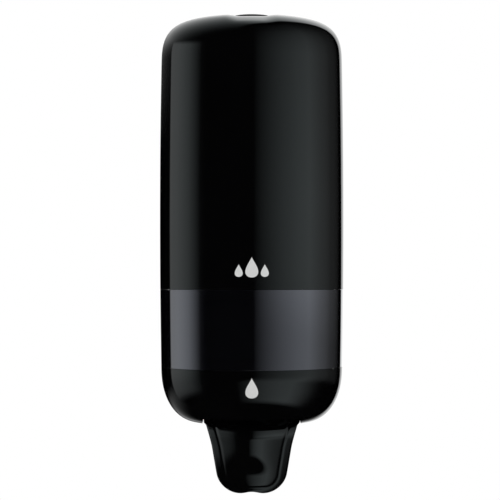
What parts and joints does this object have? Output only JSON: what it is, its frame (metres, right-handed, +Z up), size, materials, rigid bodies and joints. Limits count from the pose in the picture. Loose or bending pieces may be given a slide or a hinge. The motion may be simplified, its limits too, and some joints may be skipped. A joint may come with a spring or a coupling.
{
  "type": "wall mounted soap dispenser",
  "caption": "Tall rounded black wall soap dispenser: hinged cover with a smoked level window, quarter-turn lock on top, push lever below, refill bottle and pump inside.",
  "frame": {"origin": "on the wall face (the back plate's rear), on the centre line, halfway up the cover", "axes": "+Z up, +Y into the wall, so the front faces -Y; +X to the right as a user faces the dispenser"},
  "size_m": [0.1124, 0.114, 0.2889],
  "materials": {
    "black_gloss": "deep black, polished moulding",
    "smoked_window": "smoked translucent plastic, polished",
    "lock_plastic": "black, slightly worn gloss",
    "dark_plastic": "fine moulded grain",
    "white_plastic": "smooth satin polypropylene",
    "bottle_plastic": "translucent blown polyethylene",
    "seal_rubber": "soft silicone",
    "screw_steel": "zinc-plated",
    "pin_steel": "ground stainless",
    "spring_steel": "drawn stainless wire"
  },
  "bodies": {
    "wall_unit": {"back_plate": "dark_plastic", "pump_bracket": "dark_plastic", "bracket_screws": "screw_steel", "cover_hinge_pins": "pin_steel", "lock_keeper": "dark_plastic", "keeper_screws": "screw_steel", "lever_pin": "pin_steel", "lever_pin_clips": "screw_steel", "refill_bottle": "bottle_plastic", "bottle_collar": "white_plastic", "neck_gasket": "seal_rubber", "pump_body": "white_plastic", "pump_spring": "spring_steel", "inlet_valve": "seal_rubber"},
    "cover": {"front_cover": "black_gloss", "level_window": "smoked_window", "lock_housing": "lock_plastic", "lock_nut": "screw_steel"},
    "lock": {"lock_barrel": "lock_plastic", "lock_cam": "screw_steel", "lock_cam_screw": "screw_steel"},
    "lever": {"push_lever": "black_gloss"},
    "plunger": {"pump_plunger": "white_plastic", "piston_seal": "seal_rubber", "outlet_valve": "seal_rubber", "nozzle_cap": "white_plastic"}
  },
  "joints": [
    {"name": "cover_hinge", "type": "hinge", "parent": "wall_unit", "child": "cover", "pos_m": [0, -0.0095, -0.114], "axis": [1, 0, 0], "range_deg": [0, 85]},
    {"name": "lock_turn", "type": "hinge", "parent": "cover", "child": "lock", "pos_m": [0, -0.066, 0.123], "axis": [0, 0, 1], "range_deg": [0, 90]},
    {"name": "lever_hinge", "type": "hinge", "parent": "wall_unit", "child": "lever", "pos_m": [0, -0.086, -0.109], "axis": [1, 0, 0], "range_deg": [0, 18], "stiffness_Nm_per_rad": 0.512, "springref_deg": -7.16},
    {"name": "plunger_slide", "type": "slide", "parent": "wall_unit", "child": "plunger", "axis": [0, 0, 1], "range_m": [0, 0.0101], "deforming": ["pump_spring"]}
  ],
  "couplings": [
    {"joint": "plunger_slide", "follows": "lever_hinge", "m_per_rad": 0.032}
  ]
}
